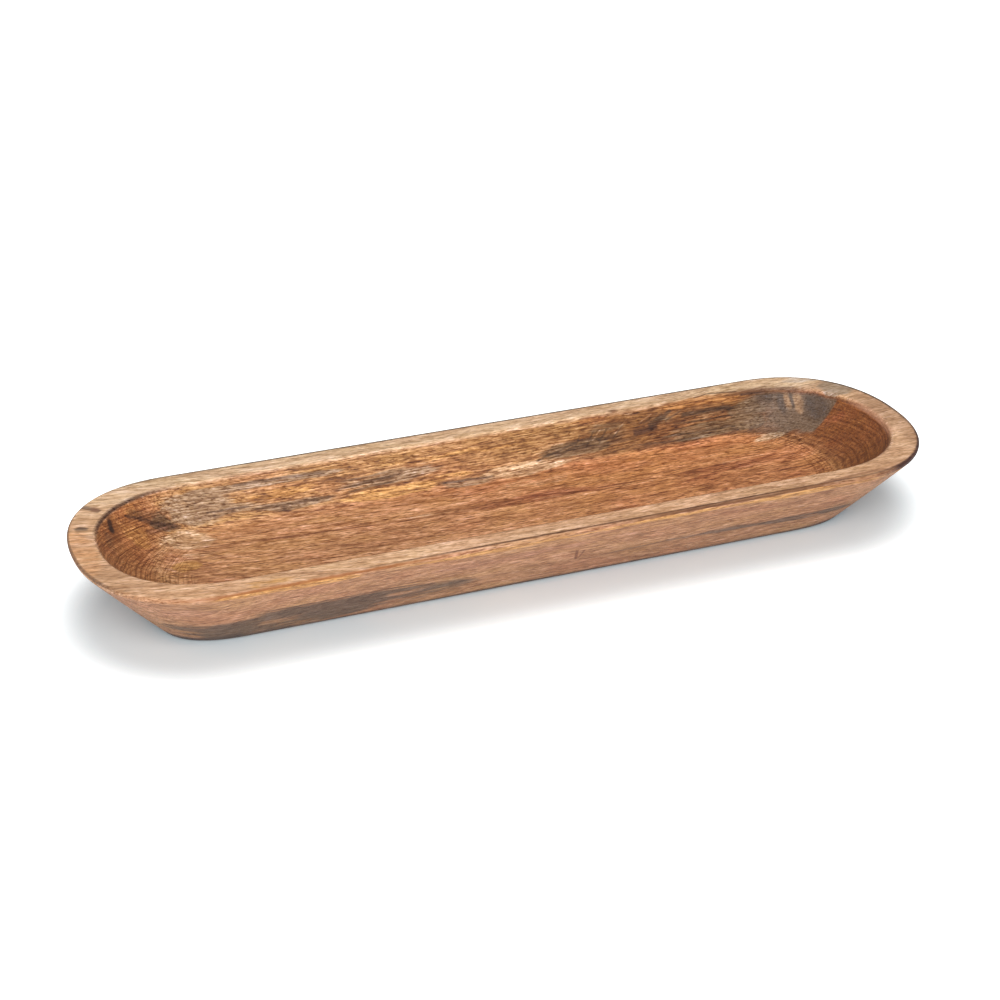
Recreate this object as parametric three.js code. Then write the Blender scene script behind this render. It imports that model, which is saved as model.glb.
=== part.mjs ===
// Oval shallow bowl: a long serving bowl carved out of one block of hardwood.
// Millimetres, +Z up, the long way of the bowl along X. The origin is the middle of the base, on the table.
// The whole bowl is one skin, lofted through level rings: up the flared outside, over the flat rim,
// and down into the hollow, whose ends sweep up more gently than its sides.
import * as THREE from "three";

// The block that the bowl is carved from
const bowlLength = 508;
const bowlWidth = 149.5;
const bowlHeight = 51;

// Flat rim between the outer edge and the hollow
const rimWidthAtSides = 14;
const rimWidthAtEnds = 14.3;
const edgeBand = 2.6; // upright strip under the rim's outer edge
const outerEdgeRadius = 1.1;
const innerEdgeRadius = 3;

// How far the foot stands in from the outer edge, and the rounding where it meets the table
const footInsetAtSides = 40;
const footInsetAtEnds = 43.7;
const footRadius = 6;

// The hollow: its walls lean back from the vertical, and turn into the floor with a fillet
const hollowDepth = 25;
const sideWallLean = THREE.MathUtils.degToRad(25);
const endWallLean = THREE.MathUtils.degToRad(40);
const sideFilletRadius = 10;
const endFilletRadius = 62;

// Each outline has straight sides and rounded ends. The reach is the length of one rounded end along X.
// A squareness of 2 is an ellipse, and a higher one has fuller corners.
const rimEndReach = 68.4;
const rimSquareness = 2.26;
const footEndReach = 46;
const footSquareness = 2.65;
const hollowEndReach = 65.4;
const hollowSquareness = 2.24;
const floorEndReach = 48;
const floorSquareness = 2.2;

// Fineness of the skin
const facetsPerQuarterEnd = 16;
const facetsPerStraightSide = 8;
const ringsPerRounding = 4;
const ringsUpTheOutside = 4;
const ringsDownTheHollow = 10;

const { lerp } = THREE.MathUtils;

// One level ring, counter-clockwise from the tip on +X. The first and the last half mirror each other in Y.
function ring(halfLength, halfWidth, endReach, squareness, z) {
  const halfStraight = halfLength - endReach;
  const quarterEnd = [];
  for (let i = 0; i <= facetsPerQuarterEnd; i++) {
    const turn = (Math.PI / 2) * (i / facetsPerQuarterEnd);
    const along = Math.max(0, Math.cos(turn)) ** (2 / squareness);
    const across = Math.sin(turn) ** (2 / squareness);
    quarterEnd.push(new THREE.Vector3(halfStraight + endReach * along, halfWidth * across, z));
  }
  const straight = [];
  for (let i = 1; i < facetsPerStraightSide; i++) {
    const x = lerp(halfStraight, -halfStraight, i / facetsPerStraightSide);
    straight.push(new THREE.Vector3(x, halfWidth, z));
  }
  const otherEnd = quarterEnd.map((p) => new THREE.Vector3(-p.x, p.y, z)).reverse();
  const half = [...quarterEnd, ...straight, ...otherEnd];
  const mirrored = half.slice(1, -1).map((p) => new THREE.Vector3(p.x, -p.y, z)).reverse();
  return [...half, ...mirrored];
}

// How far a rounding of this radius reaches along each of the faces that it joins:
// a level face, and a wall that leans by this angle from the vertical.
const roundingReach = (radius, lean) => radius * Math.tan((Math.PI / 2 - lean) / 2);
const roundingHeight = (radius, lean) => radius * (1 - Math.sin(lean));

// Inset of a leaning wall's foot or edge rounding, at a height above (or a depth below) its level face,
// measured from the sharp corner that the rounding takes off.
function roundedCorner(height, radius, lean) {
  const rise = Math.min(height, radius);
  return Math.sqrt(radius ** 2 - (radius - rise) ** 2) - roundingReach(radius, lean);
}

// Inset of the outside at height z, from the outer edge: foot rounding, flared wall, upright band, top edge.
function outsideInset(z, footInset) {
  const wallTop = bowlHeight - edgeBand;
  const lean = Math.atan2(footInset, wallTop);
  if (z < roundingHeight(footRadius, lean)) return footInset - roundedCorner(z, footRadius, lean);
  if (z < wallTop) return footInset * (1 - z / wallTop);
  const below = bowlHeight - z;
  if (below >= outerEdgeRadius) return 0;
  return outerEdgeRadius - Math.sqrt(outerEdgeRadius ** 2 - (outerEdgeRadius - below) ** 2);
}

// Inset of the hollow's wall at a depth below the rim, from the rim's inner edge: eased edge, leaning wall,
// fillet into the floor. The fillet is never taller than the wall that is left for it.
function hollowInset(depth, lean, filletRadius) {
  const easedTo = roundingHeight(innerEdgeRadius, lean);
  if (depth < easedTo) return roundedCorner(depth, innerEdgeRadius, lean);
  const radius = Math.min(filletRadius, (hollowDepth - easedTo) / (1 - Math.sin(lean)));
  const filletFrom = hollowDepth - roundingHeight(radius, lean);
  if (depth <= filletFrom) return depth * Math.tan(lean);
  const toFloor = (hollowDepth - depth) / radius;
  const outOfLevel = Math.acos(Math.min(1, 1 - toFloor));
  const cornerInset = hollowDepth * Math.tan(lean);
  return cornerInset + roundingReach(radius, lean) - radius * Math.sin(outOfLevel);
}

function outsideRing(z) {
  const insetAtSides = outsideInset(z, footInsetAtSides);
  const towardsFoot = THREE.MathUtils.clamp(insetAtSides / footInsetAtSides, 0, 1);
  return ring(
    bowlLength / 2 - outsideInset(z, footInsetAtEnds),
    bowlWidth / 2 - insetAtSides,
    lerp(rimEndReach, footEndReach, towardsFoot),
    lerp(rimSquareness, footSquareness, towardsFoot),
    z,
  );
}

function hollowRing(depth) {
  const towardsFloor = depth / hollowDepth;
  return ring(
    bowlLength / 2 - rimWidthAtEnds - hollowInset(depth, endWallLean, endFilletRadius),
    bowlWidth / 2 - rimWidthAtSides - hollowInset(depth, sideWallLean, sideFilletRadius),
    lerp(hollowEndReach, floorEndReach, towardsFloor),
    lerp(hollowSquareness, floorSquareness, towardsFloor),
    bowlHeight - depth,
  );
}

// The heights of the rings crowd together where the section turns level.
function outsideHeights() {
  const footTop = roundingHeight(footRadius, Math.atan2(footInsetAtSides, bowlHeight - edgeBand));
  const wallTop = bowlHeight - edgeBand;
  const heights = [];
  for (let i = 0; i < ringsPerRounding; i++) heights.push(footTop * (i / ringsPerRounding) ** 2);
  for (let i = 0; i < ringsUpTheOutside; i++) heights.push(lerp(footTop, wallTop, i / ringsUpTheOutside));
  heights.push(wallTop);
  for (let i = ringsPerRounding; i >= 0; i--) {
    heights.push(bowlHeight - outerEdgeRadius * (i / ringsPerRounding) ** 2);
  }
  return heights;
}

function hollowDepths() {
  const easedTo = roundingHeight(innerEdgeRadius, sideWallLean);
  const depths = [];
  for (let i = 0; i < ringsPerRounding; i++) depths.push(easedTo * (i / ringsPerRounding) ** 2);
  for (let i = 0; i <= ringsDownTheHollow; i++) {
    const sweep = Math.sin((Math.PI / 2) * (i / ringsDownTheHollow));
    depths.push(lerp(easedTo, hollowDepth, sweep));
  }
  return depths;
}

// Skin through the rings, closed by the base below and the floor of the hollow above it.
function skin(rings) {
  const count = rings[0].length;
  const half = count / 2;
  const at = (level, i) => level * count + (i % count);
  const index = [];
  const face = (a, b, c, d) => index.push(a, b, c, a, c, d);
  for (let level = 0; level + 1 < rings.length; level++) {
    for (let i = 0; i < count; i++) {
      face(at(level, i), at(level, i + 1), at(level + 1, i + 1), at(level + 1, i));
    }
  }
  // A level cap joins each point to its mirror across X, from one tip to the other.
  const cap = (level, facesUp) => {
    const tri = (a, b, c) => index.push(a, facesUp ? b : c, facesUp ? c : b);
    tri(at(level, 0), at(level, 1), at(level, count - 1));
    for (let i = 1; i + 1 < half; i++) {
      tri(at(level, i), at(level, i + 1), at(level, count - i - 1));
      tri(at(level, i), at(level, count - i - 1), at(level, count - i));
    }
    tri(at(level, half - 1), at(level, half), at(level, half + 1));
  };
  cap(0, false);
  cap(rings.length - 1, true);
  const geometry = new THREE.BufferGeometry().setFromPoints(rings.flat());
  geometry.setIndex(index);
  geometry.computeVertexNormals();
  return geometry;
}

const hardwood = new THREE.MeshStandardMaterial({ color: 0xb98455, roughness: 0.55, metalness: 0 });

const rings = [...outsideHeights().map(outsideRing), ...hollowDepths().map(hollowRing)];
const carvedBowl = new THREE.Mesh(skin(rings), hardwood);
carvedBowl.name = "carved_bowl";

const group = new THREE.Group();
group.add(carvedBowl);

export default group;
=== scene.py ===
import math

import bpy
from mathutils import Matrix, Vector


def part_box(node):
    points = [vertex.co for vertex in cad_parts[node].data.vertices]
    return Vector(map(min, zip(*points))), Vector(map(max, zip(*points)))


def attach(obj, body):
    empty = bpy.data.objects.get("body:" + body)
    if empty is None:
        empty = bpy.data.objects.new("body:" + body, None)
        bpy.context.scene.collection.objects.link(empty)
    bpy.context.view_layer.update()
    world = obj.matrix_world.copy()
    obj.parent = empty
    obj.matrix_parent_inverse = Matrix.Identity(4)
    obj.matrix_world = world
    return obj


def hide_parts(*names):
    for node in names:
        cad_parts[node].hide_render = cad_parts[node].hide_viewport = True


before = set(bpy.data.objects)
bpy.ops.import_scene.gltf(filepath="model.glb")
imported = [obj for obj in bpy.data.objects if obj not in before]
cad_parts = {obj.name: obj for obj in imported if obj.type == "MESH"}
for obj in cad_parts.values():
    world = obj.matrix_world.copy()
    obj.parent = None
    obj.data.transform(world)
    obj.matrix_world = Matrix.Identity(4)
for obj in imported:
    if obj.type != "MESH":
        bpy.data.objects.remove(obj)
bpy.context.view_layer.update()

low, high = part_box("carved_bowl")
bowlSize = high - low
print("frame loaded, bowl is", [round(s * 1000, 1) for s in bowlSize], "mm")


class Wire:
    # a socket that can stand in Python maths; each operator adds one Math node
    def __init__(self, graph, socket):
        self.graph = graph
        self.socket = socket

    def math(self, operation, *others):
        values = dict(enumerate((self, *others)))
        return self.graph.make("ShaderNodeMath", {"operation": operation}, values)

    def __add__(self, other):
        return self.math("ADD", other)

    def __mul__(self, other):
        return self.math("MULTIPLY", other)

    def __sub__(self, other):
        return self.math("SUBTRACT", other)

    def __rsub__(self, other):
        return (-self).math("ADD", other)

    def __truediv__(self, other):
        return self.math("DIVIDE", other)

    def __rtruediv__(self, other):
        return self.math("POWER", -1.0).math("MULTIPLY", other)

    def __pow__(self, other):
        return self.math("POWER", other)

    def __neg__(self):
        return self.math("MULTIPLY", -1.0)

    __radd__ = __add__
    __rmul__ = __mul__


class Graph:
    # a node tree with one way to add any node: type, settings first, then sockets by name or number
    def __init__(self, tree):
        self.tree = tree

    def make(self, kind, settings=None, inputs=None, output=0):
        node = self.tree.nodes.new(kind)
        for name, value in (settings or {}).items():
            setattr(node, name, value)
        for name, value in (inputs or {}).items():
            sources = value if isinstance(value, list) else [value]
            for source in sources:
                if isinstance(source, Wire):
                    self.tree.links.new(source.socket, node.inputs[name])
                else:
                    node.inputs[name].default_value = source
        return Wire(self, node.outputs[output]) if len(node.outputs) else node

    def vector(self, operation, a, b, output=0):
        return self.make("ShaderNodeVectorMath", {"operation": operation}, {0: a, 1: b}, output)

    def parts(self, vector):
        apart = self.make("ShaderNodeSeparateXYZ", None, {0: vector}).socket.node
        return [Wire(self, socket) for socket in apart.outputs]


# The carved bowl. The plan and section follow the solid; the end reach is the length of one rounded
# end along X, and a squareness of 2 is an ellipse.
bowl = {
    "Length": bowlSize.x,
    "Width": bowlSize.y,
    "Height": bowlSize.z,
    "Rim at sides": 0.014,
    "Rim at ends": 0.0143,
    "Edge band": 0.0026,
    "Outer edge radius": 0.0011,
    "Inner edge radius right": 0.0034,
    "Inner edge radius left": 0.0014,
    "Foot inset at sides": 0.040,
    "Foot inset at ends": 0.0437,
    "Foot radius": 0.006,
    "Hollow depth": 0.025,
    "Side wall lean": math.radians(25),
    "End wall lean": math.radians(40),
    "Side fillet": 0.010,
    "End fillet": 0.062,
    "Rim end reach": 0.0684,
    "Rim squareness": 2.26,
    "Foot end reach": 0.046,
    "Foot squareness": 2.65,
    "Hollow end reach": 0.0654,
    "Hollow squareness": 2.24,
    "Floor end reach": 0.048,
    "Floor squareness": 2.2,
    "Arris softness": 0.0012,
    "Hand waviness": 0.0003,
    "Wave size": 0.045,
    "Wave seed": 3.0,
}
bowlFineness = {"around": 384, "outside": 84, "rim": 22, "hollow": 76, "floor": 22, "base": 12}
shareOfEnds = 0.42  # how much of a quarter's vertices lie on its rounded end
crowding = 0.9  # how strongly the rows of a wall crowd together at its edges
middleLine = {"floor": 0.34, "base": 0.37}  # half the length of a level face's middle line, in bowl lengths
flatBase = 0.0025  # below this height the hand waviness fades out
mergeDistance = 0.00001


def pick(mask, whenTrue, whenFalse):
    return whenFalse + (whenTrue - whenFalse) * mask


def crowded(v):
    return v - (v * math.tau).math("SINE") * (crowding / math.tau)


def roundingReach(radius, lean):
    return radius * ((math.pi / 2 - lean) * 0.5).math("TANGENT")


def roundingHeight(radius, lean):
    return radius * (1 - lean.math("SINE"))


def roundedCorner(height, radius, lean):
    rise = height.math("MINIMUM", radius)
    return (radius * radius - (radius - rise) ** 2).math("SQRT") - roundingReach(radius, lean)


def outsideInset(size, z, footInset):
    wallTop = size["Height"] - size["Edge band"]
    lean = (footInset / wallTop).math("ARCTANGENT")
    wall = (footInset * (1 - z / wallTop)).math("SMOOTH_MAX", 0.0, size["Arris softness"])
    foot = footInset - roundedCorner(z, size["Foot radius"], lean)
    radius = size["Outer edge radius"]
    below = (size["Height"] - z).math("MINIMUM", radius)
    edge = radius - (radius * radius - (radius - below) ** 2).math("SQRT")
    inset = pick(z.math("LESS_THAN", roundingHeight(size["Foot radius"], lean)), foot, wall)
    return inset + edge


def innerEdgeRadius(size, u):
    # the edge is crisper towards -X
    toRight = ((u * math.tau).math("COSINE") + 1) / 2
    return pick(toRight, size["Inner edge radius right"], size["Inner edge radius left"])


def hollowInset(size, u, depth, lean, fillet):
    deepest = size["Hollow depth"]
    edge = innerEdgeRadius(size, u)
    easedTo = roundingHeight(edge, lean)
    radius = fillet.math("MINIMUM", (deepest - easedTo) / (1 - lean.math("SINE")))
    filletFrom = deepest - roundingHeight(radius, lean)
    toFloor = (deepest - depth) / radius
    outOfLevel = (1 - toFloor).math("MINIMUM", 1.0).math("ARCCOSINE")
    corner = deepest * lean.math("TANGENT")
    turned = corner + roundingReach(radius, lean) - radius * outOfLevel.math("SINE")
    wall = pick(depth.math("LESS_THAN", filletFrom), depth * lean.math("TANGENT"), turned)
    eased = roundedCorner(depth, edge, lean)
    return pick(depth.math("LESS_THAN", easedTo), eased, wall)


def levelRing(u, halfLength, halfWidth, reach, squareness):
    # x and y of a ring at u, which runs counter-clockwise from 0 to 1, from the tip on +X
    quarter = (u * 4).math("PINGPONG", 1.0)
    turn = (quarter / shareOfEnds).math("MINIMUM", 1.0) * (math.pi / 2)
    pastEnd = ((quarter - shareOfEnds) / (1 - shareOfEnds)).math("MAXIMUM", 0.0)
    power = 2 / squareness
    along = turn.math("COSINE").math("MAXIMUM", 0.0) ** power
    across = turn.math("SINE").math("MAXIMUM", 0.0) ** power
    xSide = 1 - 2 * (u.math("GREATER_THAN", 0.25) * u.math("LESS_THAN", 0.75))
    ySide = 1 - 2 * u.math("GREATER_THAN", 0.5)
    x = xSide * ((halfLength - reach) * (1 - pastEnd) + reach * along)
    return x, ySide * halfWidth * across


def outsideRing(size, u, z):
    atSides = outsideInset(size, z, size["Foot inset at sides"])
    atEnds = outsideInset(size, z, size["Foot inset at ends"])
    toFoot = (atSides / size["Foot inset at sides"]).math("MAXIMUM", 0.0).math("MINIMUM", 1.0)
    reach = pick(toFoot, size["Foot end reach"], size["Rim end reach"])
    squareness = pick(toFoot, size["Foot squareness"], size["Rim squareness"])
    return levelRing(u, size["Length"] / 2 - atEnds, size["Width"] / 2 - atSides, reach, squareness)


def endInset(size, u, depth):
    return hollowInset(size, u, depth, size["End wall lean"], size["End fillet"])


def hollowRing(size, u, depth):
    sideInset = hollowInset(size, u, depth, size["Side wall lean"], size["Side fillet"])
    atSides = size["Rim at sides"] + sideInset
    atEnds = size["Rim at ends"] + endInset(size, u, depth)
    toFloor = depth / size["Hollow depth"]
    reach = pick(toFloor, size["Floor end reach"], size["Hollow end reach"])
    squareness = pick(toFloor, size["Floor squareness"], size["Hollow squareness"])
    return levelRing(u, size["Length"] / 2 - atEnds, size["Width"] / 2 - atSides, reach, squareness)


# Each zone gives a place, and two distances that the wood reads. "across" counts from the outer edge over
# the rim and down into the hollow, and is negative down the outside. "inset" counts in from the rim's
# inner edge at the ends.
def outsideZone(size, u, v):
    z = size["Height"] * crowded(v)
    return (*outsideRing(size, u, z), z), z - size["Height"], 0.0


def rimZone(size, u, v):
    outer = outsideRing(size, u, size["Height"] * 1.0)
    inner = hollowRing(size, u, u * 0.0)
    x, y = (pick(v, b, a) for a, b in zip(outer, inner))
    return (x, y, size["Height"] * 1.0), v * size["Rim at sides"], 0.0


def hollowZone(size, u, v):
    depth = size["Hollow depth"] * crowded(v)
    place = (*hollowRing(size, u, depth), size["Height"] - depth)
    return place, size["Rim at sides"] + depth, endInset(size, u, depth)


def levelCap(ring, span, v):
    # from the ring at v = 0 to its middle line at v = 1
    x, y = ring
    middle = x.math("MINIMUM", span).math("MAXIMUM", -span)
    return pick(v, middle, x), y * (1 - v)


def floorZone(size, u, v):
    depth = size["Hollow depth"] * 1.0
    ring = hollowRing(size, u, depth)
    x, y = levelCap(ring, size["Length"] * middleLine["floor"], v)
    inwards = ring[1].math("ABSOLUTE") * v
    inset = endInset(size, u, depth) + inwards
    return (x, y, size["Height"] - depth), size["Rim at sides"] + depth, inset


def baseZone(size, u, v):
    x, y = levelCap(outsideRing(size, u, u * 0.0), size["Length"] * middleLine["base"], 1 - v)
    return (x, y, u * 0.0), -size["Height"], 0.0


def makeBowlForm(settings, fineness, material):
    tree = bpy.data.node_groups.new("carvedBowlForm", "GeometryNodeTree")
    graph = Graph(tree)
    tree.interface.new_socket("Geometry", in_out="OUTPUT", socket_type="NodeSocketGeometry")
    for name in settings:
        tree.interface.new_socket(name, in_out="INPUT", socket_type="NodeSocketFloat")
    size = {name: graph.make("NodeGroupInput", output=name) for name in settings}
    zones = {
        "base": baseZone,
        "outside": outsideZone,
        "rim": rimZone,
        "hollow": hollowZone,
        "floor": floorZone,
    }
    sheets = []
    for name, zone in zones.items():
        sheet = graph.make("GeometryNodeMeshGrid", None, {
            "Size X": 1.0, "Size Y": 1.0,
            "Vertices X": fineness["around"] + 1, "Vertices Y": fineness[name] + 1,
        })
        u, v = graph.parts(graph.make("GeometryNodeInputPosition"))[:2]
        place, across, inset = zone(size, u + 0.5, v + 0.5)
        for label, value in (("across", across), ("inset", inset)):
            sheet = graph.make("GeometryNodeStoreNamedAttribute", {"data_type": "FLOAT", "domain": "POINT"},
                               {"Geometry": sheet, "Name": label, "Value": value})
        spot = graph.make("ShaderNodeCombineXYZ", None, dict(enumerate(place)))
        sheets.append(graph.make("GeometryNodeSetPosition", None, {"Geometry": sheet, "Position": spot}))
    joined = graph.make("GeometryNodeJoinGeometry", None, {0: sheets[::-1]})
    merged = graph.make("GeometryNodeMergeByDistance", None, {"Geometry": joined, "Distance": mergeDistance})
    place = graph.make("GeometryNodeInputPosition")
    wave = graph.make("ShaderNodeTexNoise", {"noise_dimensions": "4D"}, {
        "Vector": place, "W": size["Wave seed"], "Scale": 1 / size["Wave size"], "Detail": 1.0,
    })
    offTable = (graph.parts(place)[2] / flatBase).math("MINIMUM", 1.0)
    push = (wave - 0.5) * size["Hand waviness"] * offTable
    offset = graph.make("ShaderNodeVectorMath", {"operation": "SCALE"},
                        {0: graph.make("GeometryNodeInputNormal"), "Scale": push})
    waved = graph.make("GeometryNodeSetPosition", None, {"Geometry": merged, "Offset": offset})
    smooth = graph.make("GeometryNodeSetShadeSmooth", None, {"Geometry": waved, "Shade Smooth": True})
    real = graph.make("GeometryNodeRealizeInstances", None, {"Geometry": smooth})
    dressed = graph.make("GeometryNodeSetMaterial", None, {"Geometry": real, "Material": material})
    graph.make("NodeGroupOutput", None, {"Geometry": dressed})
    return tree


def addObject(name, data):
    added = bpy.data.objects.new(name, data)
    bpy.context.scene.collection.objects.link(added)
    return added


def makeBowl(settings, fineness, material):
    tree = makeBowlForm(settings, fineness, material)
    piece = addObject("carvedBowl", bpy.data.meshes.new("carvedBowl"))
    modifier = piece.modifiers.new("carved form", "NODES")
    modifier.node_group = tree
    for item in tree.interface.items_tree:
        if item.in_out == "INPUT":
            modifier[item.identifier] = float(settings[item.name])
    depsgraph = bpy.context.evaluated_depsgraph_get()
    mesh = bpy.data.meshes.new_from_object(piece.evaluated_get(depsgraph), depsgraph=depsgraph)
    piece.modifiers.remove(modifier)
    piece.data = mesh
    return piece


def paint(code):
    # a colour as a painter reads it, such as "c99a6b", made linear
    channels = [int(code[i:i + 2], 16) / 255 for i in (0, 2, 4)]
    return (*(c / 12.92 if c <= 0.04045 else ((c + 0.055) / 1.055) ** 2.4 for c in channels), 1.0)


# Oiled hardwood, with some painted shade and painted highlights. Lengths are in metres, and the grain runs
# along X. A pair of numbers, unless its note says otherwise, is where something starts to come in and where
# it is fully there.
wood = {
    "rim": paint("eabb8f"),
    # painted light: the far side of the rim is painted paler
    "rimFarPaintedLight": paint("f6d0a4"),
    "outside": paint("c39067"),
    "floorLeft": paint("d69a69"),
    "floorRight": paint("da935b"),
    "wallLeft": paint("c7935c"),
    "wallRight": paint("946234"),
    "endRight": paint("884c1e"),
    "endLeft": paint("b4743f"),
    "tan": (0.75, 0.61, 0.52, 1.0),    # what the wide darker bands multiply the colour by
    "dark": (0.42, 0.29, 0.17, 1.0),   # the same for a fully dark line
    "poreDark": (0.30, 0.20, 0.13, 1.0),
    "light": (1.32, 1.45, 1.75, 1.0),  # and for a fully light one
    "low": (0.84, 0.85, 0.84, 1.0),    # painted shade on the outside near the table
    "rose": (1.03, 0.95, 0.97, 1.0),
    "straw": (0.98, 1.0, 0.87, 1.0),
    "sag": (0.43, 0.08),               # how the grain bends down across the bowl, towards -X and +X
    "wander": 0.0035,                  # how far the grain strays from straight
    "wanderCells": (7, 22, 22),
    "ringSpacing": 0.0012,
    "ringTilt": (0.27, 0.04),          # slope of the growth rings across the bowl, at -X and at +X
    "ringDetail": 3.0,
    "arcSpacing": (0.0014, 0.0021),    # at -X and at +X
    "arcDetail": 2.0,
    "arcTilt": 0.3,
    "arcStray": 0.005,
    "arcStrayCells": (30, 30, 30),
    "darkLine": (0.5, 0.64),           # levels at which a ring or an arc shows dark
    "lightLine": (0.46, 0.32),
    "lightShare": (0.6, 0.7),          # strength of light lines next to dark ones, in rings and in arcs
    "roughness": 0.5,
    "strandRoughness": 0.25,
    "poreRoughness": 0.15,
    "bumpHeight": 0.0009,
    "bumpStrength": 0.7,
    # where one zone passes into the next; line by line, the numbers are "across", height, share of the
    # length, Y, how far the surface faces along X, distance from the middle along X, and "inset"
    "zones": {
        "rim": (-0.0012, 0.0002), "hollow": (0.0135, 0.0165),
        "floor": (0.0290, 0.0268), "low": (0.036, 0.010), "base": (0.0007, 0.0001),
        "right": (0.45, 0.55), "floorRight": (0.3, 0.75), "wallRight": (0.55, 0.72),
        "rimFarPaintedLight": (0.03, 0.06),
        "end": (0.2, 0.42),
        "swept": (0.176, 0.196),
        "sweptInset": (0.062, 0.046),
    },
    "endShare": 0.9,                   # how much of the end faces' own colour they take
    # noises along the grain: cells to the metre along x, y and z, detail, roughness
    "fibres": {
        "specks": ((300, 1150, 1150), 1.0, 0.5),
        "threads": ((120, 1250, 1250), 2.0, 0.6),
        "strands": ((62, 560, 560), 3.0, 0.65),
        "dashes": ((85, 330, 330), 2.0, 0.55),
        "ribbons": ((22, 170, 170), 3.0, 0.6),
        "clouds": ((5, 34, 34), 2.0, 0.5),
        "mottle": ((26, 62, 62), 2.0, 0.5),
        "hairs": ((28, 330, 330), 2.0, 0.6),
    },
    "dashSlant": 0.12,
    "hairWidth": 0.025,
    "hairStrands": (0.4, 0.6),         # hairs and pores lie only where the strands are this dense
    "poreCells": (170, 1100, 1100),
    "poreEdge": (0.36, 0.14),
    "poreStrands": (0.42, 0.58),
    # which noise shows, between which levels, how strongly off the rim and on it, and by which colour
    "mottling": [
        ("clouds", (0.42, 0.75), 0.4, 0.4, "tan"),
        ("mottle", (0.5, 0.66), 0.8, 0.3, "rose"),
        ("mottle", (0.5, 0.34), 0.8, 0.3, "straw"),
    ],
    # which noise shows, between which levels, how strongly, and by which colour
    "texture": [
        ("ribbons", (0.5, 0.32), 0.32, "dark"), ("ribbons", (0.5, 0.72), 0.35, "light"),
        ("dashes", (0.5, 0.32), 0.38, "dark"), ("dashes", (0.52, 0.72), 0.50, "light"),
        ("strands", (0.5, 0.34), 0.60, "dark"), ("strands", (0.54, 0.7), 0.50, "light"),
        ("threads", (0.48, 0.32), 0.85, "dark"), ("threads", (0.52, 0.68), 0.75, "light"),
        ("specks", (0.45, 0.28), 0.62, "dark"), ("specks", (0.55, 0.72), 0.6, "light"),
    ],
    "hairShow": 0.5,
    "poreShow": 0.55,
    # how strongly each shows in each zone, and what share of it the grey corner takes away
    "fibreShow": {"end": 0.95, "hollow": 1.35, "rim": 0.8, "outside": 1.0, "corner": 0.25},
    "ringShow": {
        "endRight": 0.45, "endLeft": 0.6, "floor": 0.15, "wall": 0.6, "outside": 0.3, "corner": 0.6,
    },
    "arcShow": {"endRight": 0.36, "right": 0.4, "endLeft": 0.62, "left": 0.35, "corner": 0.6},
    # how high each stands in the surface
    "relief": {"threads": 0.3, "strands": 0.35, "dashes": 0.6, "pores": -0.4, "hairs": -0.3},
    "arcRelief": 0.5,
    "ringRelief": 0.2,
}

# How soft and how broken the shapes are that are placed one by one
softness = {
    "spot": (1.25, 0.45),              # in reaches from a spot's middle
    "strokeCore": 1 / 3,               # share of a stroke's half width that is at full strength
    "strokeTaper": 0.09,               # share of its length
    "edgeCore": 0.3,                   # share of an edge line's half width that is at full strength
    "fray": 0.002,
    "frayCells": (60, 60, 60),
    "broken": (0.35, 1.1),             # strength where there are no strands, and what they add
    "figure": (0.42, 0.85),            # levels of a figure's field
    "figureCells": (18, 170, 170),
    "figureDetail": (4.0, 0.62),
    "figureContrast": 1.5,
    "figureStrands": 0.7,
    "figureLevel": -1.1,               # brings the field down, so that it rarely shows by itself
    "figureShift": 0.7,                # each figure reads its field this much further along
}
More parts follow.
